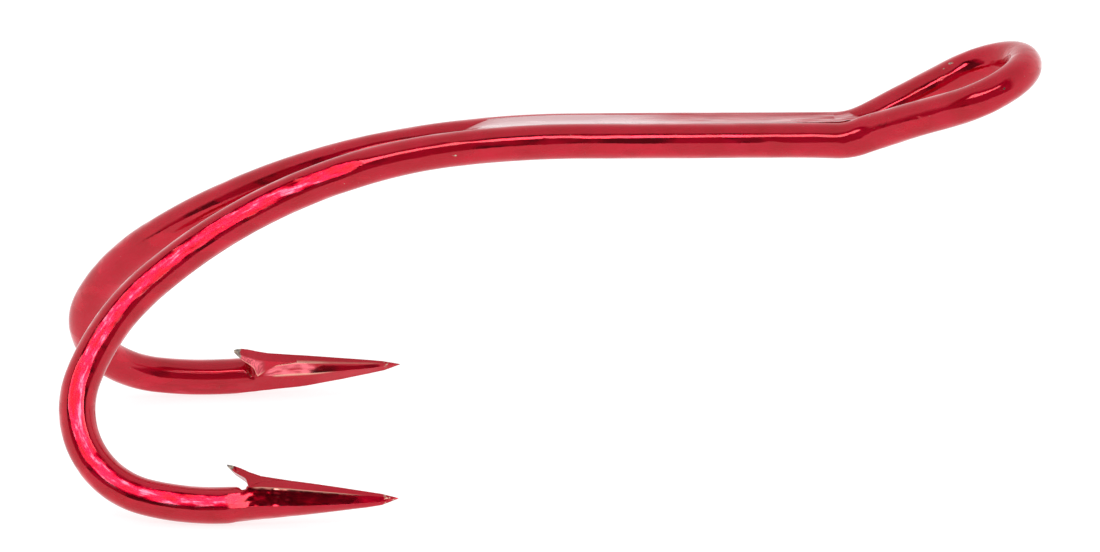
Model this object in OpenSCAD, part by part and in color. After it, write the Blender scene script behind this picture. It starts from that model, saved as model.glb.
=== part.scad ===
/* [Wire] */
// Diameter of the round hook wire
wire_d = 1.05; // [0.9:0.05:1.2]
// Gap between the two legs, filled by braze
leg_gap = 0.05; // [0.04:0.01:0.08]
// Height of the forged wire, measured in the plane of each hook
forged_height = 1.09; // [1.05:0.01:1.12]
// Thickness of the forged wire across its two flats
forged_width = 0.98; // [0.9:0.01:1.02]

/* [Eye] */
// Radius of the round end of the eye, to the wire's centre
eye_end_r = 1.7; // [1.5:0.05:1.9]
// Angle between each straight side of the eye and its centre line
eye_taper = 21; // [18:1:24]
// Radius of the curve where each leg leaves the shank
eye_throat_r = 1.5; // [1.2:0.1:2]
// Angle by which the eye turns up from the shank
eye_rise = 22.5; // [15:0.5:30]
// Radius of the turn from the shank up into the eye
eye_rise_r = 2; // [1.5:0.1:3]

/* [Shank] */
// Length of the straight stretch of the shank
shank_length = 7.7; // [5:0.1:12]
// Radius of the shallow curve that leads to the crotch
lead_r = 30; // [20:1:40]
// Angle of the shallow curve that leads to the crotch
lead_angle = 7.25; // [5:0.25:9]

/* [Bends] */
// Angle of each hook's plane to the middle plane
splay_angle = 33.5; // [25:0.5:40]
// Radius of the rear shank, just behind the crotch
rear_shank_r = 16.3; // [14:0.1:18]
// Angle turned by the rear shank
rear_shank_angle = 35; // [32:1:38]
// Radius of the upper bend
upper_bend_r = 7.1; // [6:0.1:8]
// Angle turned by the upper bend
upper_bend_angle = 28; // [25:1:31]
// Radius of the bend itself
bend_r = 2.85; // [2.5:0.05:3.3]
// Angle turned by the bend itself
bend_angle = 96; // [90:1:100]
// Radius of the throat, between the bend and the point
throat_r = 8.5; // [7:0.1:10]
// Angle turned by the throat
throat_angle = 16; // [13:1:19]

/* [Points] */
// Length from the end of the bend to the tip of the point
point_length = 5.1; // [4:0.1:6]
// Height of the barb's tip above the wire's centre
barb_rise = 1.22; // [0.9:0.02:1.4]
// Distance of the notch under the barb from the end of the bend
notch_at = 0.55; // [0.4:0.05:0.7]

/* [Braze] */
// Height of the braze above and below the shank's centre
braze_reach = 0.5; // [0.3:0.02:0.5]

/* [Hidden] */
$fn = 96;

leg_offset = (wire_d + leg_gap) / 2;
flank_rise = eye_end_r * cos(eye_taper) - leg_offset - eye_throat_r * (1 - cos(eye_taper));
flank_length = flank_rise / sin(eye_taper);
eye_reach = eye_throat_r * sin(eye_taper) + flank_length * cos(eye_taper)
    + eye_end_r * sin(eye_taper);

// The point's outline in the plane of the hook: X runs to the tip, Z to the shank
crown_at = 1.9;
crown_z = 0.69;
throat_z = 0.5;
notch_z = 0.36;
heel_at = 1.06;
heel_z = -0.43;
nose_at = 4.6;
nose_z = -0.18;
notch_run = 0.17;
side_start = 0.75;
nose_half = 0.09;
crown_r = 0.62;
barb_back = 0.06;
barb_throat_at = 0.38;
barb_throat_z = 0.92;
barb_top_at = 1.06;
barb_top_z = 0.85;
barb_root_half = 0.26;
barb_tip_half = 0.05;

// The four curved stretches of each hook, from the crotch to the point
bend_radii = [rear_shank_r, upper_bend_r, bend_r, throat_r];
bend_angles = [rear_shank_angle, upper_bend_angle, bend_angle, throat_angle];

lacquer_red = "#b3122f";
braze_red = "#b5565f";

// Wire sections. X is the radius of the curve that the section is swept round.
module round_section() {
    circle(d = wire_d);
}

module forged_section() {
    intersection() {
        circle(d = forged_height);
        square([forged_height, forged_width], center = true);
    }
}

// The braze lies between the two legs, across the shank
module braze_section() {
    difference() {
        square([2 * braze_reach, 2 * leg_offset], center = true);
        for (side = [-1, 1]) translate([0, side * leg_offset]) circle(d = wire_d);
    }
}

// Every stretch starts at the origin, runs towards -X, and curves down towards -Z
module straight(length) {
    rotate([0, -90, 0]) linear_extrude(length) children();
}

module curve(radius, angle) {
    translate([0, 0, -radius]) rotate([90, -90, 0])
        rotate_extrude(angle = angle, $fn = 360) translate([radius, 0]) children();
}

module after_straight(length) {
    translate([-length, 0, 0]) children();
}

module after_curve(radius, angle) {
    translate([-radius * sin(angle), 0, -radius * (1 - cos(angle))])
        rotate([0, -angle, 0]) children();
}

module curve_up(radius, angle) {
    mirror([0, 0, 1]) curve(radius, angle) children();
}

module after_curve_up(radius, angle) {
    translate([-radius * sin(angle), 0, radius * (1 - cos(angle))])
        rotate([0, angle, 0]) children();
}

// Places along the hook, each with the wire leaving towards -X
module at_eye_throat() {
    rotate([0, -eye_rise, 0]) translate([-eye_reach, 0, 0]) children();
}

module at_shank() {
    at_eye_throat() after_curve_up(eye_rise_r, eye_rise) children();
}

module at_lead() {
    at_shank() after_straight(shank_length) children();
}

module at_crotch(side) {
    at_lead() after_curve(lead_r, lead_angle)
        translate([0, side * leg_offset, 0]) rotate([side * splay_angle, 0, 0]) children();
}

module after_bend(stage) {
    if (stage == 0) children();
    else after_bend(stage - 1) after_curve(bend_radii[stage - 1], bend_angles[stage - 1]) children();
}

// The point's own frame has X running to the tip and Z towards the shank
module at_point(side) {
    at_crotch(side) after_bend(len(bend_radii)) rotate([0, 180, 0]) children();
}

// A side outline, drawn in X and Z, given thickness across the hook
module profile(thickness) {
    rotate([90, 0, 0]) linear_extrude(thickness, center = true) children();
}

// The round end of the eye with its two straight sides
module eye_ring() {
    color(lacquer_red) rotate([0, -eye_rise, 0]) {
        rotate_extrude(angle = 180 + 2 * eye_taper, start = -90 - eye_taper)
            translate([eye_end_r, 0]) round_section();
        for (side = [-1, 1]) mirror([0, side < 0 ? 1 : 0, 0])
            translate([-eye_end_r * sin(eye_taper), eye_end_r * cos(eye_taper), 0])
                rotate([0, 0, eye_taper]) straight(flank_length) rotate(90) round_section();
    }
}

// A neck turns one leg up from the shank, then out into the eye
module neck(side) {
    color(lacquer_red) at_eye_throat() mirror([0, side < 0 ? 1 : 0, 0]) {
        translate([0, leg_offset, 0]) curve_up(eye_rise_r, eye_rise) round_section();
        translate([0, leg_offset + eye_throat_r, 0])
            rotate_extrude(angle = eye_taper, start = -90)
                translate([eye_throat_r, 0]) round_section();
    }
}

module neck_braze() {
    color(braze_red) at_eye_throat() curve_up(eye_rise_r, eye_rise) braze_section();
}

module shank(side) {
    color(lacquer_red) translate([0, side * leg_offset, 0]) {
        at_shank() straight(shank_length) round_section();
        at_lead() curve(lead_r, lead_angle) round_section();
    }
}

module shank_braze() {
    color(braze_red) {
        at_shank() straight(shank_length) braze_section();
        at_lead() curve(lead_r, lead_angle) braze_section();
    }
}

// One curved stretch of a hook: 0 is the rear shank and 3 is the throat
module bend_stage(side, stage) {
    color(lacquer_red) at_crotch(side) after_bend(stage)
        curve(bend_radii[stage], bend_angles[stage]) forged_section();
}

// The point tapers from a round wire to the tip, with flat sides and a round belly
module point(side) {
    color(lacquer_red) at_point(side) intersection() {
        profile(wire_d) polygon([[0, -wire_d / 2], [heel_at, heel_z], [nose_at, nose_z],
            [point_length, 0], [crown_at, crown_z], [notch_at + notch_run, throat_z],
            [notch_at, notch_z], [notch_at - notch_run, wire_d / 2], [0, wire_d / 2]]);
        linear_extrude(4 * wire_d, center = true) polygon([[0, -wire_d / 2],
            [side_start, -wire_d / 2], [nose_at, -nose_half], [point_length, 0],
            [nose_at, nose_half], [side_start, wire_d / 2], [0, wire_d / 2]]);
        translate([0, 0, crown_r - wire_d / 2]) rotate([0, 90, 0])
            cylinder(r = crown_r, h = point_length);
    }
}

// The barb is a sliver cut from the wire and raised towards the shank
module barb(side) {
    color(lacquer_red) at_point(side) intersection() {
        profile(wire_d) polygon([[barb_back, barb_rise], [barb_throat_at, barb_throat_z],
            [notch_at + notch_run, throat_z], [crown_at, crown_z], [barb_top_at, barb_top_z]]);
        linear_extrude(4 * wire_d, center = true) polygon([[barb_back, -barb_tip_half],
            [notch_at + notch_run, -barb_root_half], [crown_at, -barb_root_half],
            [crown_at, barb_root_half], [notch_at + notch_run, barb_root_half],
            [barb_back, barb_tip_half]]);
    }
}

eye_ring();
neck(-1);  // left_neck
neck(1);  // right_neck
neck_braze();
shank(-1);  // left_shank
shank(1);  // right_shank
shank_braze();
bend_stage(-1, 0);  // left_rear_shank
bend_stage(1, 0);  // right_rear_shank
bend_stage(-1, 1);  // left_upper_bend
bend_stage(1, 1);  // right_upper_bend
bend_stage(-1, 2);  // left_bend
bend_stage(1, 2);  // right_bend
bend_stage(-1, 3);  // left_throat
bend_stage(1, 3);  // right_throat
point(-1);  // left_point
point(1);  // right_point
barb(-1);  // left_barb
barb(1);  // right_barb
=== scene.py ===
import math

import bpy
import numpy as np
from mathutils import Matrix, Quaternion, Vector


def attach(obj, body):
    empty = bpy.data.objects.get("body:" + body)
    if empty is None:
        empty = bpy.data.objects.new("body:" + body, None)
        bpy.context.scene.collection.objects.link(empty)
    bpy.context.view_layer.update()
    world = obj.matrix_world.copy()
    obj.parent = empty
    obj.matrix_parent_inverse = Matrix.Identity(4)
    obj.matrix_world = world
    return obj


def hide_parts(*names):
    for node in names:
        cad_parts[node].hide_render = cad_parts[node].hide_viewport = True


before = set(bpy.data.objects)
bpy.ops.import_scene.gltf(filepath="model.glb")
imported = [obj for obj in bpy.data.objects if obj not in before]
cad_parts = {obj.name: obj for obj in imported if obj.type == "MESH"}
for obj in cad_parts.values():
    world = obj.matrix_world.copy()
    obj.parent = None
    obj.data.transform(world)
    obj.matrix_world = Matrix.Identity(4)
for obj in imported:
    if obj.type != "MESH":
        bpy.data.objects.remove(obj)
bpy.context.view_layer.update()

MM = 0.001

# Driving dimensions of the part, in millimetres and degrees
WIRE_R = 0.525
LEG_OFFSET = 0.55
EYE_END_R = 1.7
EYE_TAPER = 21.0
EYE_THROAT_R = 1.5
EYE_RISE = 22.5
EYE_RISE_R = 2.0
SHANK_LENGTH = 7.7
LEAD_R = 30.0
LEAD_ANGLE = 7.25
SPLAY = 33.5
REAR_SHANK = (16.3, 35.0)
UPPER_BEND = (7.1, 28.0)
BEND = (2.85, 96.0)
THROAT = (8.5, 16.0)
POINT_LENGTH = 5.1
FORGED_R = 0.545
FORGED_HALF = 0.49

# Places round the forged wire, in degrees from its outer side: the edges of the flat and the crest
FLAT_OUTER = 64.0
FLAT_INNER = 116.0
CREST_EDGE = 171.6

# Length left off the very tip, so that its last ring keeps some width
TIP_GAP = 0.005
# How far from the crotch, each way, the sections turn into the hook's plane
SPLAY_EASE = 1.6
# How far short of the tip the roughness starts to die away
SMOOTH_TIP = 1.5

# The wire's rings have this many steps across half the belly, each flat, each side and the crest
BELLY_STEPS, FLAT_STEPS, SIDE_STEPS, CREST_STEPS = 11, 8, 9, 3
# The ring's points that lie on the edges between them
OUTER_LOWER = BELLY_STEPS + 1
OUTER_UPPER = OUTER_LOWER + FLAT_STEPS + 2
INNER_CREST = OUTER_UPPER + SIDE_STEPS + CREST_STEPS + 4
INNER_UPPER = INNER_CREST + SIDE_STEPS + 2
# How near an edge its neighbours lie, where a whole face is 2 wide
EDGE = 0.05


def rot_x(angle):
    c, s = math.cos(math.radians(angle)), math.sin(math.radians(angle))
    return np.array([[1, 0, 0, 0], [0, c, -s, 0], [0, s, c, 0], [0, 0, 0, 1.0]])


def rot_y(angle):
    c, s = math.cos(math.radians(angle)), math.sin(math.radians(angle))
    return np.array([[c, 0, s, 0], [0, 1, 0, 0], [-s, 0, c, 0], [0, 0, 0, 1.0]])


def rot_z(angle):
    c, s = math.cos(math.radians(angle)), math.sin(math.radians(angle))
    return np.array([[c, -s, 0, 0], [s, c, 0, 0], [0, 0, 1, 0], [0, 0, 0, 1.0]])


def shift(x, y, z):
    m = np.eye(4)
    m[:3, 3] = (x, y, z)
    return m


def smooth(x, low, high):
    """From 0 at low to 1 at high."""
    t = np.clip((np.asarray(x, float) - low) / (high - low), 0, 1)
    return t * t * (3 - 2 * t)


def between(x, rise, fall):
    """One between two places, with a soft rise and fall, each given by where it starts and ends."""
    return smooth(x, *rise) * (1 - smooth(x, *fall))


def look_up(table, x, *columns):
    """The values of some columns at x, where the table's first column is the place."""
    return [np.interp(x, table[:, 0], table[:, n]) for n in columns]


# Each stretch leaves its start towards -X. These give the frame reached a way along it.
def straight(length):
    return length, lambda t: shift(-t * length, 0, 0)


def turn(radius, angle, axis, sign):
    """An arc about the local Y or Z axis. sign is the sense in which the frame turns."""
    def at(t):
        a = math.radians(t * angle)
        rise = sign * radius * (1 - math.cos(a))
        if axis == "y":
            return shift(-radius * math.sin(a), 0, rise) @ rot_y(sign * t * angle)
        return shift(-radius * math.sin(a), -rise, 0) @ rot_z(sign * t * angle)
    return radius * math.radians(angle), at


def leg_stretches():
    """(name, spacing of rings, (length, frame along it)) for one leg, from the eye's end to the tip."""
    gap = EYE_END_R * math.cos(math.radians(EYE_TAPER)) - LEG_OFFSET
    gap -= EYE_THROAT_R * (1 - math.cos(math.radians(EYE_TAPER)))
    flank = gap / math.sin(math.radians(EYE_TAPER))
    return [
        ("ring", 0.07, turn(EYE_END_R, 90 + EYE_TAPER, "z", 1)),
        ("flank", 0.07, straight(flank)),
        ("throat_in", 0.07, turn(EYE_THROAT_R, EYE_TAPER, "z", -1)),
        ("rise", 0.07, turn(EYE_RISE_R, EYE_RISE, "y", 1)),
        ("shank", 0.08, straight(SHANK_LENGTH)),
        ("lead", 0.08, turn(LEAD_R, LEAD_ANGLE, "y", -1)),
        ("rear_shank", 0.08, turn(*REAR_SHANK, "y", -1)),
        ("upper_bend", 0.07, turn(*UPPER_BEND, "y", -1)),
        ("bend", 0.06, turn(*BEND, "y", -1)),
        ("throat", 0.06, turn(*THROAT, "y", -1)),
        ("point", 0.04, straight(POINT_LENGTH - TIP_GAP)),
    ]


def walk_leg():
    """Frames down the right leg, their distances from the eye's end, and each stretch's first and last."""
    eye = rot_y(-EYE_RISE)
    here = eye @ shift(EYE_END_R, 0, 0) @ rot_z(-90)
    frames, places, marks, start = [here], [0.0], {}, 0.0
    for name, spacing, (length, at) in leg_stretches():
        if name == "rear_shank":
            here = here @ rot_x(SPLAY)
        first = len(frames) - 1
        count = max(2, round(length / spacing))
        for k in range(1, count + 1):
            frames.append(here @ at(k / count))
            places.append(start + length * k / count)
        here = frames[-1]
        start += length
        marks[name] = (first, len(frames) - 1)
    return np.array(frames), np.array(places), marks


def ease_splay(frames, places, marks):
    """Turns the sections gradually into the hook's plane on either side of the crotch."""
    crotch = marks["rear_shank"][0]
    for i in range(len(frames)):
        off = places[i] - places[crotch]
        if abs(off) < SPLAY_EASE:
            turned = SPLAY * float(smooth(off, -SPLAY_EASE, SPLAY_EASE))
            frames[i] = frames[i] @ rot_x(turned if i <= crotch else turned - SPLAY)
    return frames


def lattice_noise(along, around, step, cells, seed):
    """Smooth noise from -1 to 1, over distance along the wire and the share of a turn around it."""
    low = along.min()
    rows = int((along.max() - low) / step) + 3
    grid = np.random.default_rng(seed).uniform(-1, 1, (rows, cells))
    x, y = (along - low) / step, (around % 1.0) * cells
    i, j = np.floor(x).astype(int), np.floor(y).astype(int) % cells
    u, v = x - np.floor(x), y - np.floor(y)
    u, v = u * u * (3 - 2 * u), v * v * (3 - 2 * v)
    k = (j + 1) % cells
    near = grid[i, j] * (1 - v) + grid[i, k] * v
    far = grid[i + 1, j] * (1 - v) + grid[i + 1, k] * v
    return near * (1 - u) + far * u


def waves(along, around, table):
    """Several noises added up, from rows of height, step along the wire, cells round it, and seed."""
    return sum(height * lattice_noise(along, around, *row) for height, *row in table)


def arc_points(p, q, sagitta, taus):
    """Points on the arc from p to q that bulges by sagitta, at places from -1 to 1 along it."""
    half = (q - p) / 2
    chord = np.maximum(np.linalg.norm(half, axis=-1), 1e-6)
    theta = 2 * np.arctan(sagitta / chord)
    theta = np.where(np.abs(theta) < 1e-3, 1e-3, theta)[:, None]
    taus = np.asarray(taus)[None, :]
    out = np.stack([-half[:, 1], half[:, 0]], -1) / chord[:, None]
    x = np.sin(theta * taus) / np.sin(theta)
    y = chord[:, None] * (np.cos(theta * taus) - np.cos(theta)) / np.sin(theta)
    middle = (p + q) / 2
    return middle[:, None] + half[:, None] * x[..., None] + out[:, None] * y[..., None]


def edged(count):
    """Places along a face from one edge up to the next, with one close by each edge to keep it crisp."""
    return [-1.0, -1.0 + EDGE] + list(np.linspace(-1, 1, count + 1)[1:-1]) + [1.0 - EDGE]


# The point, section by section: distance from the throat, then the belly's depth, and across and up
# for the lower edge, the upper edge and the crest's edge
POINT_SECTIONS = np.array([
    [0.00, -0.545, 0.490, -0.239, 0.490, 0.239, 0.080, 0.539],
    [0.26, -0.512, 0.485, -0.235, 0.480, 0.240, 0.090, 0.528],
    [0.33, -0.505, 0.484, -0.235, 0.479, 0.242, 0.120, 0.515],
    [0.40, -0.499, 0.483, -0.234, 0.474, 0.246, 0.200, 0.470],
    [0.47, -0.494, 0.483, -0.232, 0.468, 0.252, 0.330, 0.365],
    [0.55, -0.488, 0.482, -0.230, 0.460, 0.285, 0.340, 0.368],
    [0.63, -0.483, 0.482, -0.222, 0.450, 0.340, 0.345, 0.405],
    [0.70, -0.478, 0.490, -0.200, 0.438, 0.410, 0.165, 0.945],
    [1.06, -0.458, 0.475, -0.205, 0.410, 0.400, 0.165, 0.805],
    [1.40, -0.440, 0.452, -0.212, 0.388, 0.365, 0.160, 0.738],
    [1.90, -0.405, 0.418, -0.225, 0.358, 0.315, 0.150, 0.640],
    [2.15, -0.390, 0.398, -0.228, 0.343, 0.285, 0.145, 0.600],
    [3.30, -0.305, 0.268, -0.195, 0.232, 0.170, 0.105, 0.392],
    [4.15, -0.238, 0.158, -0.150, 0.138, 0.085, 0.070, 0.232],
    [4.60, -0.185, 0.100, -0.118, 0.085, 0.052, 0.045, 0.150],
    [5.095, -0.010, 0.008, -0.006, 0.008, 0.006, 0.004, 0.010],
])
# The upper edge of the inner side, where its hollow bevel is wider: distance, across and up
INNER_EDGE = np.array([
    [1.90, 0.358, 0.315], [2.30, 0.346, 0.285], [2.70, 0.349, 0.300],
    [3.30, 0.283, 0.232], [4.15, 0.181, 0.132], [4.60, 0.100, 0.085], [5.095, 0.008, 0.006],
])
# The seam at which the barb's side leaves the point's: distance from the throat, and height
BARB_SEAM = np.array([[0.66, 0.42], [0.85, 0.50], [1.06, 0.60], [1.30, 0.655], [1.90, 0.638]])
# The barb: distance from the throat, then across and up for its crest's edge and for its under edge
BARB_SECTIONS = np.array([
    [0.03, 0.035, 1.235, 0.030, 1.205],
    [0.12, 0.085, 1.205, 0.090, 1.095],
    [0.265, 0.130, 1.155, 0.165, 0.955],
    [0.45, 0.152, 1.075, 0.240, 0.830],
    [0.576, 0.160, 1.010, 0.300, 0.740],
    [0.63, 0.163, 0.982, 0.345, 0.640],
    [0.66, 0.164, 0.965, 0.390, 0.520],
    [0.70, 0.165, 0.945, 0.435, 0.420],
])
BARB_ROOT = BARB_SECTIONS[-1, 0]
# The point's sections from the barb's root on
ROOTED_SECTIONS = POINT_SECTIONS[POINT_SECTIONS[:, 0] >= BARB_ROOT]
# The least share of the bevel that is left on the point under the barb
LEAST_BEVEL = 0.02

# Where each flat starts and where it is fully pressed: beyond the crotch, and beyond the upper bend
OUTER_FLAT_STARTS = (0.9, 3.4)
INNER_FLAT_STARTS = (2.2, 4.6)
# How sharp the flats' edges are, and how far outside the wire they stand before they are pressed in
FLAT_SHARPNESS = 26
FLAT_CLEAR = 0.2
# How much of the hammered look the inner flat has, beside the outer one, and how soon the look comes in
# as a flat gets deeper
INNER_SHARE = 0.3
FLAT_GAIN = 2.2

# Stretches of the point, by distance from the throat: where a form starts and ends, or rises and falls
POINT_TAKES_OVER = (-0.1, 0.3)
FACETS_START = (0.3, 0.62)
HOLLOW_DEPTH, HOLLOW_SPAN = 0.014, ((1.95, 2.5), (3.6, 4.6))
FLAT_END, FLAT_END_SPAN = 0.6, ((-0.1, 0.3), (0.2, 0.8))
CUT_SPAN = ((0.0, 0.5), (1.3, 2.4))


def section_keys(places, marks):
    """Each ring's lower, upper and crest's edge as (across, outwards), with its belly, radius and flats."""
    crotch, bend, start = (places[marks[name][0]] for name in ("rear_shank", "bend", "point"))
    forged = smooth(places, *(crotch + reach for reach in OUTER_FLAT_STARTS))
    inner = smooth(places, *(bend + reach for reach in INNER_FLAT_STARTS))
    radius = WIRE_R + (FORGED_R - WIRE_R) * forged
    keys = []
    for angle in (FLAT_OUTER, FLAT_INNER, CREST_EDGE):
        a = math.radians(angle)
        keys.append(np.stack([radius * math.sin(a), radius * math.cos(a)], -1))
    x = places - start
    tip = x > 0
    for n, key in enumerate(keys):
        across, up = look_up(POINT_SECTIONS, x[tip], 2 + 2 * n, 3 + 2 * n)
        key[tip] = np.stack([across, -up], -1)
    # Under the barb, the point stops at the seam
    _, upper, crest = keys
    under = tip & (x > BARB_SEAM[0, 0]) & (x < BARB_SEAM[-1, 0])
    seam = -look_up(BARB_SEAM, x[under], 1)[0]
    share = np.clip((seam - upper[under, 1]) / (crest[under, 1] - upper[under, 1]), LEAST_BEVEL, 1)
    crest[under] = upper[under] + (crest[under] - upper[under]) * share[:, None]
    belly = radius.copy()
    belly[tip] = -look_up(POINT_SECTIONS, x[tip], 1)[0]
    return keys, belly, radius, forged, inner


def inner_side(keys, x):
    """The edges again on the wire's inner side, where the point's hollow bevel is wider."""
    keys = [key * np.array([-1.0, 1.0]) for key in keys]
    beyond = x > INNER_EDGE[0, 0]
    across, up = look_up(INNER_EDGE, x[beyond], 1, 2)
    keys[1][beyond] = np.stack([-across, -up], -1)
    return keys


def arc_bulge(radius, turned):
    """How far an arc of the round wire, turned by this many degrees, stands out from its chord."""
    return radius * (1 - math.cos(math.radians(turned / 2)))


def wire_sections(places, marks, seeds):
    """The rings' points as (across, outwards), with the share of forged flat at each."""
    x = places - places[marks["point"][0]]
    keys, belly, radius, forged, inner = section_keys(places, marks)
    c1, b1, a1 = keys
    c2, b2, a2 = inner_side(keys, x)
    round_still = 1 - smooth(x, *FACETS_START)
    flat_bulge = arc_bulge(radius, FLAT_INNER - FLAT_OUTER) * (1 - forged)
    side_bulge = arc_bulge(radius, CREST_EDGE - FLAT_INNER) * round_still
    crest_bulge = arc_bulge(radius, 2 * (180 - CREST_EDGE)) * round_still
    hollow = side_bulge - HOLLOW_DEPTH * between(x, *HOLLOW_SPAN)
    belly_bulge = np.maximum(belly - (c1[:, 1] + c2[:, 1]) / 2, 0.001)
    down_belly = list(np.linspace(0, 1, BELLY_STEPS + 1)[:-1]) + [1 - EDGE / 2]
    up_belly = [-1, -1 + EDGE / 2] + list(np.linspace(-1, 0, BELLY_STEPS + 1)[1:-1])
    points = np.concatenate([
        arc_points(c2, c1, belly_bulge, down_belly),
        arc_points(c1, b1, flat_bulge, edged(FLAT_STEPS)),
        arc_points(b1, a1, side_bulge, edged(SIDE_STEPS)),
        arc_points(a1, a2, crest_bulge, edged(CREST_STEPS)),
        arc_points(a2, b2, hollow, edged(SIDE_STEPS)),
        arc_points(b2, c2, flat_bulge, edged(FLAT_STEPS)),
        arc_points(c2, c1, belly_bulge, up_belly),
    ], axis=1)
    points, flat = press_flats(points, places, x, radius, forged, inner, seeds)
    outer_flat = np.zeros(points.shape[1])
    outer_flat[OUTER_LOWER:OUTER_UPPER] = 1
    ending = FLAT_END * between(x, *FLAT_END_SPAN)[:, None]
    return points, np.maximum(flat, outer_flat * ending)


def press_flats(points, places, x, radius, forged, inner, seeds):
    """Presses two soft-edged flats of slightly uneven width into the round wire, up to the point."""
    angle = np.arctan2(points[..., 0], points[..., 1])
    wide = np.abs(np.sin(angle))
    half, share = np.zeros_like(angle), np.zeros_like(angle)
    flats = ((True, seeds[0], forged, 1.0), (False, seeds[1], inner, INNER_SHARE))
    for outer, seed, pressed, strength in flats:
        ragged = waves(places, np.zeros_like(places), [(0.006, 0.9, 1, seed), (0.005, 0.3, 1, seed + 1)])
        level = FORGED_HALF + FLAT_CLEAR * (1 - pressed) + ragged * pressed
        here = (angle >= 0) == outer
        half = np.where(here, level[:, None], half)
        share = np.where(here, pressed[:, None] * strength, share)
    flat_r = half / np.maximum(wide, 1e-3)
    r = (radius[:, None] ** -FLAT_SHARPNESS + flat_r ** -FLAT_SHARPNESS) ** (-1 / FLAT_SHARPNESS)
    flattened = np.stack([r * np.sin(angle), r * np.cos(angle)], -1)
    into = smooth(x, *POINT_TAKES_OVER)[:, None]
    depth = np.maximum(radius[:, None] - flat_r, 0) / np.maximum(radius[:, None] - half, 1e-3)
    flat = np.clip(depth * FLAT_GAIN, 0, 1) * share * (1 - into)
    return flattened * (1 - into[..., None]) + points * into[..., None], flat


def grid_normals(points):
    along = np.gradient(points, axis=0)
    around = np.roll(points, -1, axis=1) - np.roll(points, 1, axis=1)
    n = np.cross(around, along)
    return n / np.maximum(np.linalg.norm(n, axis=-1, keepdims=True), 1e-12)


# Small marks left by tools, on the left leg (-1) or the right (1): side, distance from the eye's end,
# share of a turn round the wire, length, width, and depth, which is less than nothing where it stands out
DENTS = [
    (-1, 9.15, 0.235, 0.55, 0.17, 0.016),
    (-1, 14.4, 0.205, 0.95, 0.16, -0.007),
    (-1, 7.35, 0.205, 0.50, 0.16, -0.007),
    (-1, 15.9, 0.190, 0.05, 0.16, 0.006),
    (-1, 7.0, 0.22, 0.20, 0.08, 0.010),
    (-1, 6.75, 0.19, 0.12, 0.06, 0.009),
    (-1, 6.5, 0.23, 0.16, 0.07, -0.008),
    (-1, 4.3, 0.20, 0.14, 0.07, 0.009),
    (-1, 3.9, 0.22, 0.45, 0.09, -0.006),
    (-1, 2.5, 0.23, 0.35, 0.09, 0.005),
    (1, 24.9, 0.775, 0.95, 0.22, 0.018),
    (1, 24.6, 0.77, 0.14, 0.06, 0.012),
    (1, 24.2, 0.79, 0.08, 0.05, 0.010),
    (1, 23.7, 0.77, 0.30, 0.05, 0.006),
    (1, 0.75, 0.96, 0.08, 0.06, 0.003),
    (-1, 6.1, 0.42, 1.7, 0.55, -0.07),
    (1, 3.2, 0.93, 0.09, 0.07, 0.010),
    (1, 4.4, 0.80, 0.10, 0.06, 0.006),
    (1, 3.7, 0.82, 0.12, 0.06, 0.006),
]


# Waves in the surface, as rows for waves(): drawn wire, the forge's hammering, the cut under the barb,
# the pressed eye, the braze's top, and its pool behind the eye
DRAWN = [(0.0036, 1.1, 4, 1), (0.0016, 0.42, 8, 2), (0.0007, 2.6, 26, 3)]
HAMMERED = [(1.0, 0.95, 32, 4), (0.7, 0.28, 38, 5)]
CUT_MARKS = [(1.0, 0.19, 40, 6)]
EYE_RIPPLES = [(0.0042, 0.7, 12, 9), (0.0014, 0.24, 26, 10)]
BRAZE_RIPPLES = [(0.006, 1.3, 9, 21), (0.003, 0.5, 20, 22)]
POOL_RIPPLES = [(1.0, 0.85, 22, 23)]
HAMMERED_DEPTH, CUT_DEPTH, POOL_DEPTH = 0.0045, 0.005, 0.017
# Distances from the eye's end over which its ripples die away
EYE_RIPPLES_END = (6.5, 8.5)


def round_from(around, turned):
    """Distance round the wire from a place, given as a share of a turn."""
    return ((around - turned + 0.5) % 1.0 - 0.5) * 2 * math.pi * WIRE_R


def roughen(points, along, around, flat, x):
    """Lifts and sinks the surface as drawn, hammered and handled wire is."""
    lift = waves(along, around, DRAWN) + flat * HAMMERED_DEPTH * waves(along, around, HAMMERED)
    lift += between(x, *CUT_SPAN) * CUT_DEPTH * waves(along, around, CUT_MARKS)
    lift += waves(along, around, EYE_RIPPLES) * (1 - smooth(np.abs(along), *EYE_RIPPLES_END))
    for side, place, turned, length, width, depth in DENTS:
        u = (along - side * place) / length
        v = round_from(around, turned) / width
        lift -= depth * np.exp(-(u * u + v * v) * 2)
    return points + grid_normals(points) * lift[..., None]


# Seeds of the outer and inner flats' uneven edges, on the left leg and on the right
FLAT_SEEDS = ((-1, (100, 120)), (1, (140, 160)))


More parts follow.
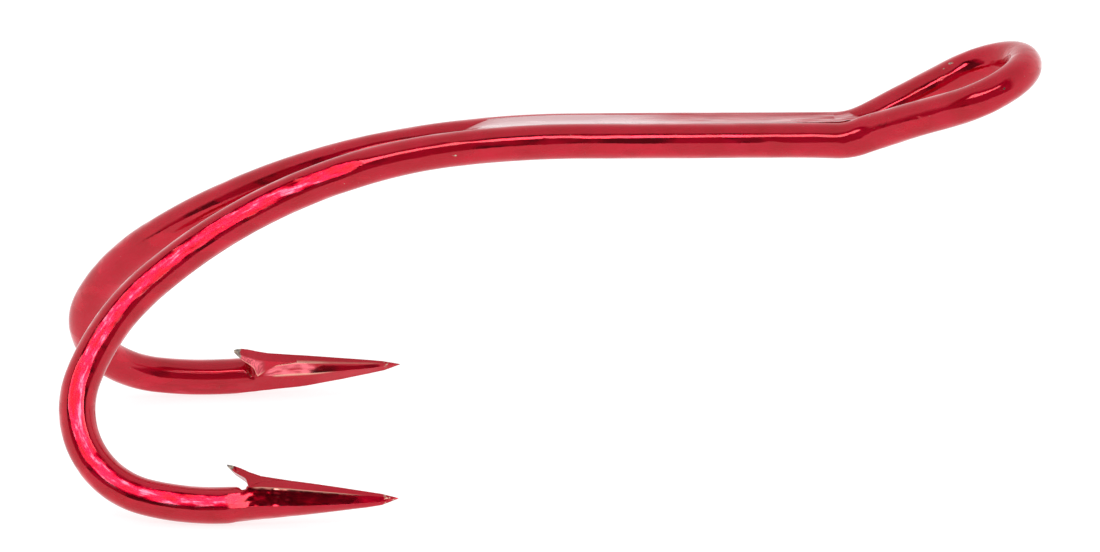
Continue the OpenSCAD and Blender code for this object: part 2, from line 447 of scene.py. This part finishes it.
def wire_grid():
    """The whole wire as one grid of rings, from the left tip round the eye to the right tip."""
    frames, places, marks = walk_leg()
    frames = ease_splay(frames, places, marks)
    across, outwards = frames[:, None, :3, 1], frames[:, None, :3, 2]
    halves, flats = [], []
    for side, seeds in FLAT_SEEDS:
        section, flat = wire_sections(places, marks, seeds)
        points = frames[:, None, :3, 3] + across * section[..., :1] + outwards * section[..., 1:]
        halves.append(points * np.array([1.0, side, 1.0]))
        flats.append(flat)
    # The halves share the ring at the eye's end, and distances down the left leg are less than nothing
    points = np.concatenate([halves[0][::-1], halves[1][1:]])
    flat = np.concatenate([flats[0][::-1], flats[1][1:]])
    signed = np.concatenate([-places[::-1], places[1:]])
    along = np.repeat(signed[:, None], points.shape[1], axis=1)
    eye_end = points[len(places) - 1]
    gaps = np.linalg.norm(np.roll(eye_end, -1, axis=0) - eye_end, axis=-1)
    around = np.concatenate([[0], np.cumsum(gaps)[:-1]]) / gaps.sum()
    around = np.repeat(around[None, :], len(points), axis=0)
    x = np.abs(along) - places[marks["point"][0]]
    rough = roughen(points, along, around, flat, x)
    short_of_tip = np.clip((places[-1] - np.abs(along)) / SMOOTH_TIP, 0, 1)
    points = points + (rough - points) * short_of_tip[..., None]
    return points, grid_normals(points), flat, along, around, frames, places, marks


def new_object(name, verts, faces, normals=None, layers=None, sharp=None):
    """A mesh piece from points in millimetres. One cut from a longer form has a normal for each corner."""
    mesh = bpy.data.meshes.new(name)
    mesh.from_pydata([tuple(v) for v in np.asarray(verts) * MM], [], faces)
    mesh.polygons.foreach_set("use_smooth", [True] * len(mesh.polygons))
    for key, values in (layers or {}).items():
        layer = mesh.attributes.new(key, "FLOAT", "POINT")
        layer.data.foreach_set("value", np.asarray(values, np.float32))
    mesh.validate()
    mesh.update()
    if normals is not None:
        mesh.normals_split_custom_set([tuple(n) for n in normals])
    elif sharp is not None:
        mesh.set_sharp_from_angle(angle=math.radians(sharp))
    piece = bpy.data.objects.new(name, mesh)
    bpy.context.scene.collection.objects.link(piece)
    return piece


def tube_faces(rings, count):
    faces = []
    for i in range(rings - 1):
        a, b = i * count, (i + 1) * count
        for j in range(count):
            k = (j + 1) % count
            faces.append((a + j, a + k, b + k, b + j))
    return faces


def closed_tube(points, layers):
    """Points, faces and layers of a run of rings, closed with a fan at each end."""
    rings, count = points.shape[:2]
    verts = list(points.reshape(-1, 3))
    faces = tube_faces(rings, count)
    values = {key: list(layer.reshape(-1)) for key, layer in layers.items()}
    for ring in (0, rings - 1):
        centre = len(verts)
        verts.append(points[ring].mean(0))
        for key, layer in layers.items():
            values[key].append(layer[ring].mean())
        for j in range(count):
            a, b = ring * count + j, ring * count + (j + 1) % count
            faces.append((b, a, centre) if ring == 0 else (a, b, centre))
    return verts, faces, values


def corner_normals(points, normals, faces):
    """A normal for each corner of a closed tube: the surface's own on its sides, and outward at its ends."""
    rings, count = points.shape[:2]
    surface = normals.reshape(-1, 3)
    corners = [surface[v] for face in faces[:(rings - 1) * count] for v in face]
    for ring, inner in ((0, 1), (rings - 1, rings - 2)):
        outward = points[ring].mean(0) - points[inner].mean(0)
        corners += [outward / np.linalg.norm(outward)] * (3 * count)
    return corners


# Chips through the lacquer: side, distance from the eye's end, share of a turn round, length and width
NICKS = [
    (1, 3.15, 0.93, 0.11, 0.10),
    (1, 3.45, 0.90, 0.06, 0.05),
    (-1, 5.9, 0.04, 0.09, 0.05),
    (-1, 1.9, 0.21, 0.10, 0.06),
    (1, 0.55, 0.97, 0.05, 0.05),
    (-1, 18.6, 0.30, 0.10, 0.04),
]
# How far through the lacquer is at the middle of a chip, at the tip, whose bare flecks are also painted
# glints, and on the lip of the notch
CHIPPED, TIP_WEAR_AND_GLINTS, LIP_WORN = 0.75, 0.42, 0.34


def chips(along, around):
    """How far each chip has gone through, from 0 to 1."""
    gone = np.zeros_like(along)
    for side, place, turned, length, width in NICKS:
        u = (along - side * place) / length
        v = round_from(around, turned) / width
        gone = np.maximum(gone, CHIPPED * np.exp(-(u * u + v * v)))
    return gone


# Stretches of the point, by distance from the throat, where the surface changes
# The tip's bare flecks, which are also painted glints, come in over this stretch
TIP_WEAR_AND_GLINTS_START = (4.05, 4.9)
LIP_SPAN = ((0.30, 0.36), (0.62, 0.70))
OUTER_RIDGE_SPAN = ((0.75, 0.95), (3.4, 4.2))
CREST_RIDGE_SPAN = ((1.1, 1.3), (4.2, 4.7))
CREST_RIDGE_FADE = (2.5, 3.0)
OUTER_RIDGE_STRENGTH, CREST_RIDGE_LOSS = 0.8, 0.6
INNER_RIDGE_SPAN = ((1.1, 1.3), (2.5, 3.2))
SIDE_SPAN = ((0.35, 0.8), (3.7, 4.2))
# The inner bevel's patches of painted highlight: where they lie, how much they cover, and the noise that
# breaks them up
BEVEL_HIGHLIGHT_SPAN = ((0.85, 1.1), (2.35, 2.75))
BEVEL_HIGHLIGHT_COVER, BEVEL_HIGHLIGHT_PATCHES = 0.62, [(1.1, 0.21, 60, 12)]
# How far round from the crest, as a share of a turn, the notch's lip is worn
LIP_REACH = (0.10, 0.16)


def worn_wire(along, around, x):
    """Where the lacquer is off: the tip, in flecks that are also painted glints, the lip of the notch, and
    the chips.
    """
    count = along.shape[1]
    from_crest = np.abs(np.arange(count) / count - 0.5)
    crest = 1 - smooth(from_crest, *LIP_REACH)[None, :]
    worn_and_glinting = TIP_WEAR_AND_GLINTS * smooth(x, *TIP_WEAR_AND_GLINTS_START) + LIP_WORN * (between(x, *LIP_SPAN) * crest)
    return np.maximum(worn_and_glinting, chips(along, around))


def on_points(count, low, high):
    """One on the ring's points from low up to high, and nothing on the rest."""
    chosen = np.zeros(count)
    chosen[low:high] = 1
    return chosen[None, :]


def ridges(x, count):
    """One along the point's edges, for a gold painted highlight there, where the lacquer is also thinnest."""
    outer, crest, inner = (on_points(count, n - 1, n + 2) for n in (OUTER_UPPER, INNER_CREST, INNER_UPPER))
    rise, fall = CREST_RIDGE_SPAN
    faded = 1 - CREST_RIDGE_LOSS * smooth(x, *CREST_RIDGE_FADE)
    shared = outer * between(x, *OUTER_RIDGE_SPAN) * OUTER_RIDGE_STRENGTH
    gold = crest * (smooth(x, *rise) * faded * (1 - smooth(x, *fall)))
    return shared + gold + inner * between(x, *INNER_RIDGE_SPAN)


def side_facet(x, count):
    """One on the flat outer side of the point, which is smooth and deep in colour."""
    return on_points(count, OUTER_LOWER, OUTER_UPPER + 1) * between(x, *SIDE_SPAN)


def bevel_highlights(x, along, around):
    """Patches of painted highlight on the inner bevel, beside the root of the barb."""
    bevel = on_points(x.shape[1], INNER_CREST + 1, INNER_UPPER) * between(x, *BEVEL_HIGHLIGHT_SPAN)
    return np.clip(bevel * (BEVEL_HIGHLIGHT_COVER + waves(along, around, BEVEL_HIGHLIGHT_PATCHES)), 0, 1)


# The nodes down one leg, each with the first and the last stretch that it takes in
LEG_NODES = [("neck", "throat_in", "rise"), ("shank", "shank", "lead")]
LEG_NODES += [(name,) * 3 for name in ("rear_shank", "upper_bend", "bend", "throat", "point")]


def wire_spans(marks, mid):
    """Each wire node's name with its first and last ring. mid is the ring at the eye's end."""
    spans = [("eye_ring", mid - marks["flank"][1], mid + marks["flank"][1])]
    for side, sign in (("left", -1), ("right", 1)):
        for node, first, last in LEG_NODES:
            ends = sorted((mid + sign * marks[first][0], mid + sign * marks[last][1]))
            spans.append((f"{side}_{node}", *ends))
    return spans


def wire_pieces(lacquer):
    """The wire's 15 nodes, cut from one surface, and the leg's frames, distances and marks."""
    points, normals, flat, along, around, frames, places, marks = wire_grid()
    x = np.abs(along) - places[marks["point"][0]]
    highlight_mask = bevel_highlights(x, along, around)
    layers = {
        "worn": worn_wire(along, around, x),
        "forged": np.maximum(flat, highlight_mask),
        "grain": 0.5 + 0.5 * waves(along, around, HAMMERED) / 1.3,
        "ridge": ridges(x, points.shape[1]),
        "painted_highlight": highlight_mask,
        "run": along,
        "turned": around * 2 * math.pi * WIRE_R,
        "deep": side_facet(x, points.shape[1]),
    }
    made = []
    for node, first, last in wire_spans(marks, len(places) - 1):
        rows = slice(first, last + 1)
        verts, faces, values = closed_tube(points[rows], {key: layer[rows] for key, layer in layers.items()})
        corners = corner_normals(points[rows], normals[rows], faces)
        piece = new_object("lacquered_" + node, verts, faces, corners, values)
        finish_piece(piece, lacquer, node)
        made.append(piece)
    return made, frames, places, marks


def finish_piece(piece, material, node):
    piece.data.materials.append(material)
    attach(piece, "root")
    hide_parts(node)


def outline(corners, steps):
    """Points along the closed outline through the corners, with so many steps on each side."""
    ring = []
    for k, (p, count) in enumerate(zip(corners, steps)):
        q = corners[(k + 1) % len(corners)]
        for t in range(count):
            ring.append((p[0] + (q[0] - p[0]) * t / count, p[1] + (q[1] - p[1]) * t / count))
    return np.array(ring)


# Steps across the barb's crest, and down one side, across the short return, the underside and back up
BARB_STEPS = (4, 7, 1, 6, 1, 7)
# Distances at which the barb's sections stand: the free part, then the part that lies on the point
BARB_PLACES = np.concatenate([np.linspace(0.03, BARB_ROOT, 26), np.linspace(0.74, 1.93, 24)])
BARB_SEED, BARB_ROUGHNESS = 7, 0.0012
# How far its underside lies inside its sides, free and let into the point, and its least half width
BARB_LIP, LET_IN_DEPTH, LEAST_HALF = 0.004, 0.04, 0.003
# Stretches of the barb: where its bare tip ends, where it is let into the point, and where its cut face ends
BARE_TIP_END = (0.14, 0.34)
LET_IN = (0.63, BARB_ROOT)
CUT_FACE_END = (0.72, 1.0)


def barb_corners(x):
    """The barb's section, as (across, up): crest, sides down to the seam, and a narrower underside."""
    across_low, up_low, across_top, up_top = look_up(ROOTED_SECTIONS, x, 4, 5, 6, 7)
    seam = look_up(BARB_SEAM, x, 1)[0]
    share = np.clip((seam - up_low) / (up_top - up_low), LEAST_BEVEL, 1)
    across_seam = across_low + (across_top - across_low) * share
    up_seam = up_low + (up_top - up_low) * share
    if x < BARB_ROOT:
        across_top, up_top, across_seam, up_seam = look_up(BARB_SECTIONS, x, 1, 2, 3, 4)
    bury = float(smooth(x, *LET_IN)) * LET_IN_DEPTH + BARB_LIP
    across_under, up_under = max(across_seam - bury, LEAST_HALF), up_seam - bury
    half = [(across_top, up_top), (across_seam, up_seam), (across_under, up_under)]
    return [(-across_top, up_top)] + half + [(-across_under, up_under), (-across_seam, up_seam)]


def barb(frames, marks, side, name, lacquer):
    """The sliver raised from the wire, sharp at its free end and joined to the point's bevels."""
    start = frames[marks["point"][0]]
    rng = np.random.default_rng(BARB_SEED + side)
    count = sum(BARB_STEPS)
    inner_edge = count - BARB_STEPS[-1]
    rings, worn, highlight_mask, ridge = [], [], [], []
    for x in BARB_PLACES:
        section = outline(barb_corners(x), BARB_STEPS)
        section = section + rng.uniform(-BARB_ROUGHNESS, BARB_ROUGHNESS, section.shape)
        local = np.stack([np.full(count, -x), section[:, 0], -section[:, 1], np.ones(count)], -1)
        rings.append((local @ start.T)[:, :3] * np.array([1.0, side, 1.0]))
        worn.append(np.full(count, 0.9 - 0.9 * float(smooth(x, *BARE_TIP_END))))
        cut_here = 1 - float(smooth(x, *CUT_FACE_END))
        # Patchy painted highlight on the barb's cut face, and a line of gold painted highlight along its
        # inner edge
        highlight_mask.append((np.arange(count) >= inner_edge) * cut_here * rng.uniform(0.2, 1.0, count))
        ridge.append((np.arange(count) == inner_edge) * cut_here)
    order = slice(None) if side > 0 else slice(None, None, -1)
    rings, worn, highlight_mask, ridge = (np.array(values)[order] for values in (rings, worn, highlight_mask, ridge))
    layers = {"worn": worn, "painted_highlight": highlight_mask, "forged": np.minimum(1, highlight_mask * 4), "ridge": ridge}
    verts, faces, values = closed_tube(rings, layers)
    piece = new_object("lacquered_" + name, verts, faces, None, values, sharp=BARB_SHARP)
    finish_piece(piece, lacquer, name)
    return piece


# The braze's height and depth at the shank's middle, how much its top and underside sag, and how far
# short of the legs' centres its edge stands
BRAZE_HEIGHT, BRAZE_DEPTH = 0.519, 0.44
BRAZE_TOP_SAG, BRAZE_UNDER_SAG = 0.038, 0.07
BRAZE_EDGE_IN = 0.085
BRAZE_MOST_SPREAD = 0.57
BRAZE_STEPS = 23
# Where it thins out past the legs' parting at the eye and at the crotch, and where it is worn bare
EYE_TAIL, CROTCH_TAIL, CROTCH_WEAR = (-0.3, 0.9), (-1.3, 0.3), (-0.25, 0.2)
# It pools behind the eye: how much higher it stands there, and where that and its ripples end and fade
POOL_RISE = 0.024
POOL_END, POOL_FADE = 2.6, 2.4
POOL_RIPPLES_END, POOL_RIPPLES_FADE = 3.4, 2.6
# One fleck on its top: distance from the eye's end, share of a turn round, length, and share of a turn wide
FLECK_AT, FLECK_TURNED, FLECK_LENGTH, FLECK_WIDTH = 15.65, 0.19, 0.06, 0.012
# The stretch over which its top is painted pale, a painted reflection, by distance from the eye's end
PAINTED_REFLECTION_SPAN = ((11.5, 13.8), (17.0, 18.4))
# How far in from its edge the sides inside the legs lie, at the waist and above and below it
WAIST_IN, SHOULDER_IN = 0.32, 0.14
# Angles, in degrees, beyond which an edge is sharp
BARB_SHARP, BRAZE_SHARP = 24, 50


def braze_ring(spread, height, depth):
    """One section of the braze: a nearly level top and bottom between the legs, and sides inside them."""
    edge = spread - BRAZE_EDGE_IN
    across = np.linspace(-1, 1, BRAZE_STEPS)
    top = height - BRAZE_TOP_SAG * (1 - across ** 2)
    under = -(depth - BRAZE_UNDER_SAG * (1 - across ** 2))
    upper = np.stack([across * edge, top], -1)
    lower = np.stack([across[::-1] * edge, under[::-1]], -1)
    waist, shoulder = edge - WAIST_IN, edge - SHOULDER_IN
    right = np.array([[shoulder, height * 0.5], [waist, 0.0], [shoulder, -depth * 0.5]])
    left = right[::-1] * np.array([-1, 1])
    return np.concatenate([upper, right, lower, left])


def braze(frames, places, marks, node, first, last, material, tail_low, tail_high):
    """The braze along the shank's middle. The tails run on past the node's own stretch and thin out."""
    low, high = places[marks[first][0]] - tail_low, places[marks[last][1]] + tail_high
    eye_end, crotch = places[marks["rise"][0]], places[marks["lead"][1]]
    chosen = [i for i in range(len(places)) if low <= places[i] <= high]
    rings, worn = [], []
    for i in chosen:
        origin = frames[i, :3, 3] * np.array([1.0, 0.0, 1.0])
        ahead = frames[min(i + 1, len(places) - 1), :3, 3] - frames[max(i - 1, 0), :3, 3]
        tangent = ahead * np.array([1.0, 0.0, 1.0])
        tangent /= np.linalg.norm(tangent)
        up = np.array([tangent[2], 0.0, -tangent[0]])
        over_eye = smooth(eye_end - places[i], *EYE_TAIL)
        over_crotch = smooth(places[i] - crotch, *CROTCH_TAIL)
        pool = smooth(POOL_END - (places[i] - eye_end), 0, POOL_FADE)
        height = (BRAZE_HEIGHT + POOL_RISE * pool) * (1 - 0.9 * over_eye - 0.5 * over_crotch)
        depth = BRAZE_DEPTH * (1 - 0.7 * max(over_eye, over_crotch))
        spread = min(frames[i, 1, 3], BRAZE_MOST_SPREAD) * (1 - 0.55 * over_crotch)
        section = braze_ring(spread, height, depth)
        rings.append(origin + section[:, :1] * np.array([0, 1.0, 0]) + section[:, 1:] * up)
        worn.append(np.full(len(section), float(smooth(places[i] - crotch, *CROTCH_WEAR))))
    rings, worn = np.array(rings), np.array(worn)
    along = np.repeat(places[chosen][:, None], rings.shape[1], axis=1)
    share = np.repeat(np.linspace(0, 1, rings.shape[1], endpoint=False)[None], len(rings), axis=0)
    rippled = smooth(POOL_RIPPLES_END - (along - eye_end), 0, POOL_RIPPLES_FADE)
    lift = waves(along, share, BRAZE_RIPPLES)
    lift += rippled * POOL_DEPTH * waves(along, share, POOL_RIPPLES)
    rings = rings + grid_normals(rings) * -lift[..., None]
    u, v = (along - FLECK_AT) / FLECK_LENGTH, (share - FLECK_TURNED) / FLECK_WIDTH
    worn = np.maximum(worn, 0.8 * np.exp(-(u ** 2 + v ** 2)))
    # Painted reflection: the braze's pale band along the stretch above
    layers = {"worn": worn[::-1], "painted_highlight": between(along, *PAINTED_REFLECTION_SPAN)[::-1]}
    verts, faces, values = closed_tube(rings[::-1], layers)
    piece = new_object("lacquered_" + node, verts, faces, None, values, sharp=BRAZE_SHARP)
    finish_piece(piece, material, node)
    return piece


class Nodes:
    """A short way to write a node tree."""

    def __init__(self, tree):
        self.tree = tree
        tree.nodes.clear()

    def add(self, kind, inputs=None, **settings):
        node = self.tree.nodes.new(kind)
        for key, value in settings.items():
            setattr(node, key, value)
        for key, value in (inputs or {}).items():
            if hasattr(value, "is_output"):
                self.tree.links.new(value, node.inputs[key])
            else:
                node.inputs[key].default_value = value
        return node

    def layer(self, name):
        return self.add("ShaderNodeAttribute", attribute_name=name).outputs["Fac"]

    def maths(self, operation, *values, clamp=False):
        values = dict(enumerate(values))
        return self.add("ShaderNodeMath", values, operation=operation, use_clamp=clamp).outputs[0]

    def plus(self, first, *others):
        for other in others:
            first = self.maths("ADD", first, other)
        return first

    def times(self, first, second):
        return self.maths("MULTIPLY", first, second)

    def less(self, first, second):
        return self.maths("SUBTRACT", first, second)

    def stretch(self, vector, scale):
        return self.add("ShaderNodeVectorMath", {0: vector, 1: scale}, operation="MULTIPLY").outputs[0]

    def mix(self, factor, first, second):
        return self.add("ShaderNodeMix", {0: factor, 6: first, 7: second}, data_type="RGBA").outputs[2]

    def bump(self, height, distance):
        values = {"Height": height, "Strength": 1.0, "Distance": distance}
        return self.add("ShaderNodeBump", values).outputs[0]

    def ramp(self, factor, stops):
        node = self.add("ShaderNodeValToRGB", {"Fac": factor})
        band = node.color_ramp
        while len(band.elements) < len(stops):
            band.elements.new(1.0)
        for element, (place, colour) in zip(band.elements, stops):
            element.position = place
            element.color = colour if len(colour) == 4 else (*colour, 1)
        return node.outputs["Color"]

    def noise(self, vector, scale, detail=3.0, roughness=0.55):
        return self.add("ShaderNodeTexNoise", {
            "Vector": vector, "Scale": scale, "Detail": detail, "Roughness": roughness}).outputs["Fac"]


def grey(value):
    return (value, value, value, 1)


# Painted shade and highlight for the hammered flats: painted shade in the hollows, up to a pink painted
# highlight on the ridges
HAMMERED_SHADE_AND_HIGHLIGHT = [
    (0.38, (0.26, 0.0005, 0.006)), (0.47, (0.44, 0.0008, 0.016)),
    (0.56, (0.64, 0.004, 0.036)), (0.64, (0.84, 0.11, 0.17)),
]
# Bare metal where the lacquer is off, from grey steel to the gold of thin lacquer
BARE_METAL = [(0.35, (0.09, 0.07, 0.06)), (0.5, (0.30, 0.25, 0.22)), (0.66, (0.62, 0.50, 0.36))]
# Gold painted highlight along the edges of the point and the barb, where the lacquer is also thin
GOLD_EDGE_HIGHLIGHT = (0.92, 0.48, 0.36, 1)
# How much less mirror-like the coat makes the metal where its milky patches lie
VEIL_STRENGTH = 0.66


def hammering(n, mm):
    """The pattern of the hammered flats: the mesh's own grain, streaks along the wire and a fine mottle."""
    drawn = n.add("ShaderNodeCombineXYZ", {
        0: n.times(n.layer("run"), 1.5), 1: n.times(n.layer("turned"), 11.0)}).outputs[0]
    streaks = n.noise(drawn, 1.0, 3, 0.6)
    mottle = n.noise(mm, 6.0, 6, 0.7)
    return n.plus(n.times(n.layer("grain"), 0.25), n.times(streaks, 0.5), n.times(mottle, 0.25))


def coated_colour(n, mm, forged, hammered, deep, light, painted_highlight):
    """The lacquer's red: cloudy on round wire, painted shade and highlight on the flats, pale painted
    highlight where set, and a gold painted highlight along the edges, where the lacquer is also thin.
    """
    tone = n.ramp(n.noise(mm, 1.1, 4), [(0.3, deep), (0.7, light)])
    # On the flats, painted shade in the hammered hollows and painted highlight on the ridges
    body = n.mix(forged, tone, n.ramp(hammered, HAMMERED_SHADE_AND_HIGHLIGHT))
    # Painted highlight: pink on the wire's bevel and the barbs' cut faces, pale on the braze
    body = n.mix(n.layer("painted_highlight"), body, painted_highlight)
    return n.mix(n.times(n.layer("ridge"), 0.8), body, GOLD_EDGE_HIGHLIGHT)


def lacquer_off(n, mm, fine):
    """Where the lacquer is gone, in ragged patches on worn places, and the same with a few pin holes."""
    worn = n.layer("worn")
    edge = n.plus(worn, n.times(n.less(fine, 0.5), 1.6))
    gone = n.times(n.ramp(edge, [(0.45, grey(0)), (0.62, grey(1))]), n.maths("GREATER_THAN", worn, 0.02))
    holes = n.ramp(n.noise(mm, 16.0, 2), [(0.755, grey(0)), (0.775, grey(1))])
    return gone, n.maths("MAXIMUM", gone, n.times(holes, 0.8))


def milky_patches(n, here):
    """Patches drawn out along the wire, where the lacquer scatters a little light."""
    stretched = n.stretch(here, (450, 1700, 1700))
    return n.ramp(n.noise(stretched, 1.0, 2), [(0.40, grey(0.15)), (0.50, grey(1))])


def lacquer_material(name, deep, light, painted_highlight, roughness, bump, coat):
    """Clear red lacquer over bright plating: a tinted metal under a gloss coat, bare where it is worn."""
    material = bpy.data.materials.new(name)
    material.use_nodes = True
    n = Nodes(material.node_tree)
    here = n.add("ShaderNodeTexCoord").outputs["Object"]
    mm = n.stretch(here, (1000, 1000, 1000))
    forged = n.layer("forged")
    fine = n.noise(mm, 7.0, 5, 0.65)
    hammered = hammering(n, mm)
    gone, bared = lacquer_off(n, mm, fine)
    colour = coated_colour(n, mm, forged, hammered, deep, light, painted_highlight)
    colour = n.mix(bared, colour, n.ramp(fine, BARE_METAL))
    rough = n.plus(n.times(fine, 0.12), roughness - 0.06, n.times(forged, n.times(hammered, 0.22)))
    rough = n.maths("ADD", rough, n.times(bared, 0.15), clamp=True)
    relief = n.plus(n.noise(mm, 2.2, 2), n.times(fine, 0.18), n.times(forged, n.times(hammered, 0.9)))
    bright = n.maths("MAXIMUM", gone, forged)
    gloss = n.times(n.less(1.0, n.times(bright, 0.8)), coat)
    clear = n.maths("MAXIMUM", bright, n.layer("deep"))
    veil = n.times(milky_patches(n, here), n.less(1.0, clear))
    shader = n.add("ShaderNodeBsdfPrincipled", {
        "Base Color": colour, "Metallic": n.less(1.0, n.times(veil, VEIL_STRENGTH)), "Roughness": rough,
        "Normal": n.bump(relief, bump), "Specular IOR Level": 0.0,
        "Coat Weight": gloss, "Coat Roughness": 0.035, "Coat IOR": 1.5,
        "Coat Normal": n.bump(relief, bump * 0.4)})
    n.add("ShaderNodeOutputMaterial", {"Surface": shader.outputs[0]})
    return material


def floor_material():
    material = bpy.data.materials.new("white_floor")
    material.use_nodes = True
    n = Nodes(material.node_tree)
    shader = n.add("ShaderNodeBsdfPrincipled", {
        "Base Color": (0.36, 0.36, 0.36, 1), "Roughness": 0.9, "Specular IOR Level": 0.1,
        "Emission Color": (1, 1, 1, 1), "Emission Strength": 0.82})
    n.add("ShaderNodeOutputMaterial", {"Surface": shader.outputs[0]})
    return material


# Brightness of the tent overhead, of its open front, of the gaps beside the lamp, and of the lamp
TENT, DIM, GAP, LAMP = 0.80, 0.10, 0.03, 5.2
# The lamp and the opening: degrees each side of straight ahead at which they start to fade and end
LAMP_WIDTH = (34, 40)
OPENING_WIDTH = (58, 68)


def bands(*stops):
    """Ramp stops from pairs of height above level, in degrees, and brightness."""
    return [(0.5 + 0.5 * math.sin(math.radians(height)), grey(value)) for height, value in stops]


def sector(n, ahead, inner, outer):
    """One within inner degrees of straight ahead, and nothing beyond outer degrees."""
    edges = ((outer, 0), (inner, 1))
    stops = [(0.5 + 0.5 * math.cos(math.radians(angle)), grey(value)) for angle, value in edges]
    return n.ramp(n.maths("MULTIPLY_ADD", ahead, 0.5, 0.5), stops)


def studio_world():
    """A white tent, dim towards the open front, with one long soft lamp up in the opening."""
    world = bpy.data.worlds.new("studio")
    bpy.context.scene.world = world
    world.use_nodes = True
    n = Nodes(world.node_tree)
    way = n.add("ShaderNodeTexCoord").outputs["Generated"]
    x, y, z = n.add("ShaderNodeSeparateXYZ", {0: way}).outputs
    level = n.maths("SQRT", n.plus(n.times(x, x), n.times(y, y)))
    ahead = n.maths("DIVIDE", n.times(y, -1.0), n.maths("MAXIMUM", level, 0.001))
    height = n.maths("MULTIPLY_ADD", z, 0.5, 0.5)
    around = n.ramp(height, bands((-30, 0.9), (8, 1.15), (35, 0.95), (75, TENT)))
    dark = n.ramp(height, bands((-8, 0.8), (-3, DIM), (30, DIM), (40, GAP), (62, GAP), (69, TENT)))
    lit = n.ramp(height, bands(
        (-8, 0.8), (-3, DIM), (36, DIM), (40, GAP), (43.5, LAMP),
        (53, LAMP), (56, GAP), (62, GAP), (69, TENT)))
    front = n.mix(sector(n, ahead, *LAMP_WIDTH), dark, lit)
    whole = n.mix(sector(n, ahead, *OPENING_WIDTH), around, front)
    seen = n.add("ShaderNodeLightPath").outputs["Is Camera Ray"]
    back = n.add("ShaderNodeBackground", {"Color": n.mix(seen, whole, grey(1.0)), "Strength": 1.0})
    n.add("ShaderNodeOutputWorld", {"Surface": back.outputs[0]})


# The camera: degrees above level, distance from the crotch, lens, roll, and how far right of the crotch
# and below it the camera aims
CAMERA_RISE = 17.0
CAMERA_DISTANCE = 300.0
CAMERA_LENS = 328.4
CAMERA_ROLL = -0.1
AIM_RIGHT, AIM_DOWN = 2.966, 3.954


def place_camera(crotch):
    """Looks at the hook from its left side, along +Y and a little down."""
    rise = math.radians(CAMERA_RISE)
    back = Vector((0, -math.cos(rise), math.sin(rise)))
    up = Vector((0, math.sin(rise), math.cos(rise)))
    right = Vector((1, 0, 0))
    data = bpy.data.cameras.new("camera")
    data.sensor_width = 36
    data.lens = CAMERA_LENS
    data.clip_start = 0.01
    camera = bpy.data.objects.new("camera", data)
    camera.location = (crotch + back * CAMERA_DISTANCE) * MM
    target = (crotch + right * AIM_RIGHT - up * AIM_DOWN) * MM
    level = (target - camera.location).to_track_quat("-Z", "Y")
    camera.rotation_euler = (level @ Quaternion((0, 0, 1), math.radians(CAMERA_ROLL))).to_euler()
    bpy.context.scene.collection.objects.link(camera)
    bpy.context.scene.camera = camera


# Half the floor's width, its squares each way, and how far it lies under the hook
FLOOR_HALF, FLOOR_STEPS, FLOOR_GAP = 1500, 12, 0.01


def add_floor(height):
    xs = np.linspace(-FLOOR_HALF, FLOOR_HALF, FLOOR_STEPS + 1)
    verts = [(x, y, height) for y in xs for x in xs]
    faces = []
    for j in range(FLOOR_STEPS):
        for i in range(FLOOR_STEPS):
            a = j * (FLOOR_STEPS + 1) + i
            b = a + FLOOR_STEPS + 1
            faces.append((a, a + 1, b + 1, b))
    floor = new_object("floor", verts, faces)
    floor.data.materials.append(floor_material())


# Each lacquer's pale colour is its painted highlight: hot pink on the wire and barbs, pale pink on the
# braze's top
red = lacquer_material(
    "red_lacquer", deep=(0.47, 0.0006, 0.012, 1), light=(0.58, 0.0014, 0.024, 1), painted_highlight=(1.0, 0.20, 0.25, 1),
    roughness=0.115, bump=0.006 * MM, coat=0.70)
braze_red = lacquer_material(
    "lacquered_braze", deep=(0.50, 0.03, 0.045, 1), light=(0.62, 0.08, 0.10, 1), painted_highlight=(0.74, 0.42, 0.44, 1),
    roughness=0.22, bump=0.010 * MM, coat=1.0)
pieces, leg_frames, leg_places, leg_marks = wire_pieces(red)
for side, name in ((-1, "left_barb"), (1, "right_barb")):
    pieces.append(barb(leg_frames, leg_marks, side, name, red))
pieces.append(braze(leg_frames, leg_places, leg_marks, "neck_braze", "rise", "rise", braze_red, 0.9, 0.0))
pieces.append(braze(leg_frames, leg_places, leg_marks, "shank_braze", "shank", "lead", braze_red, 0.0, 0.3))

lowest = min(v.co.z for piece in pieces for v in piece.data.vertices)
add_floor(lowest / MM - FLOOR_GAP)
studio_world()
crotch_x, _, crotch_z = leg_frames[leg_marks["rear_shank"][0]][:3, 3]
place_camera(Vector((crotch_x, 0.0, crotch_z)))
bpy.context.scene.view_settings.view_transform = "Standard"
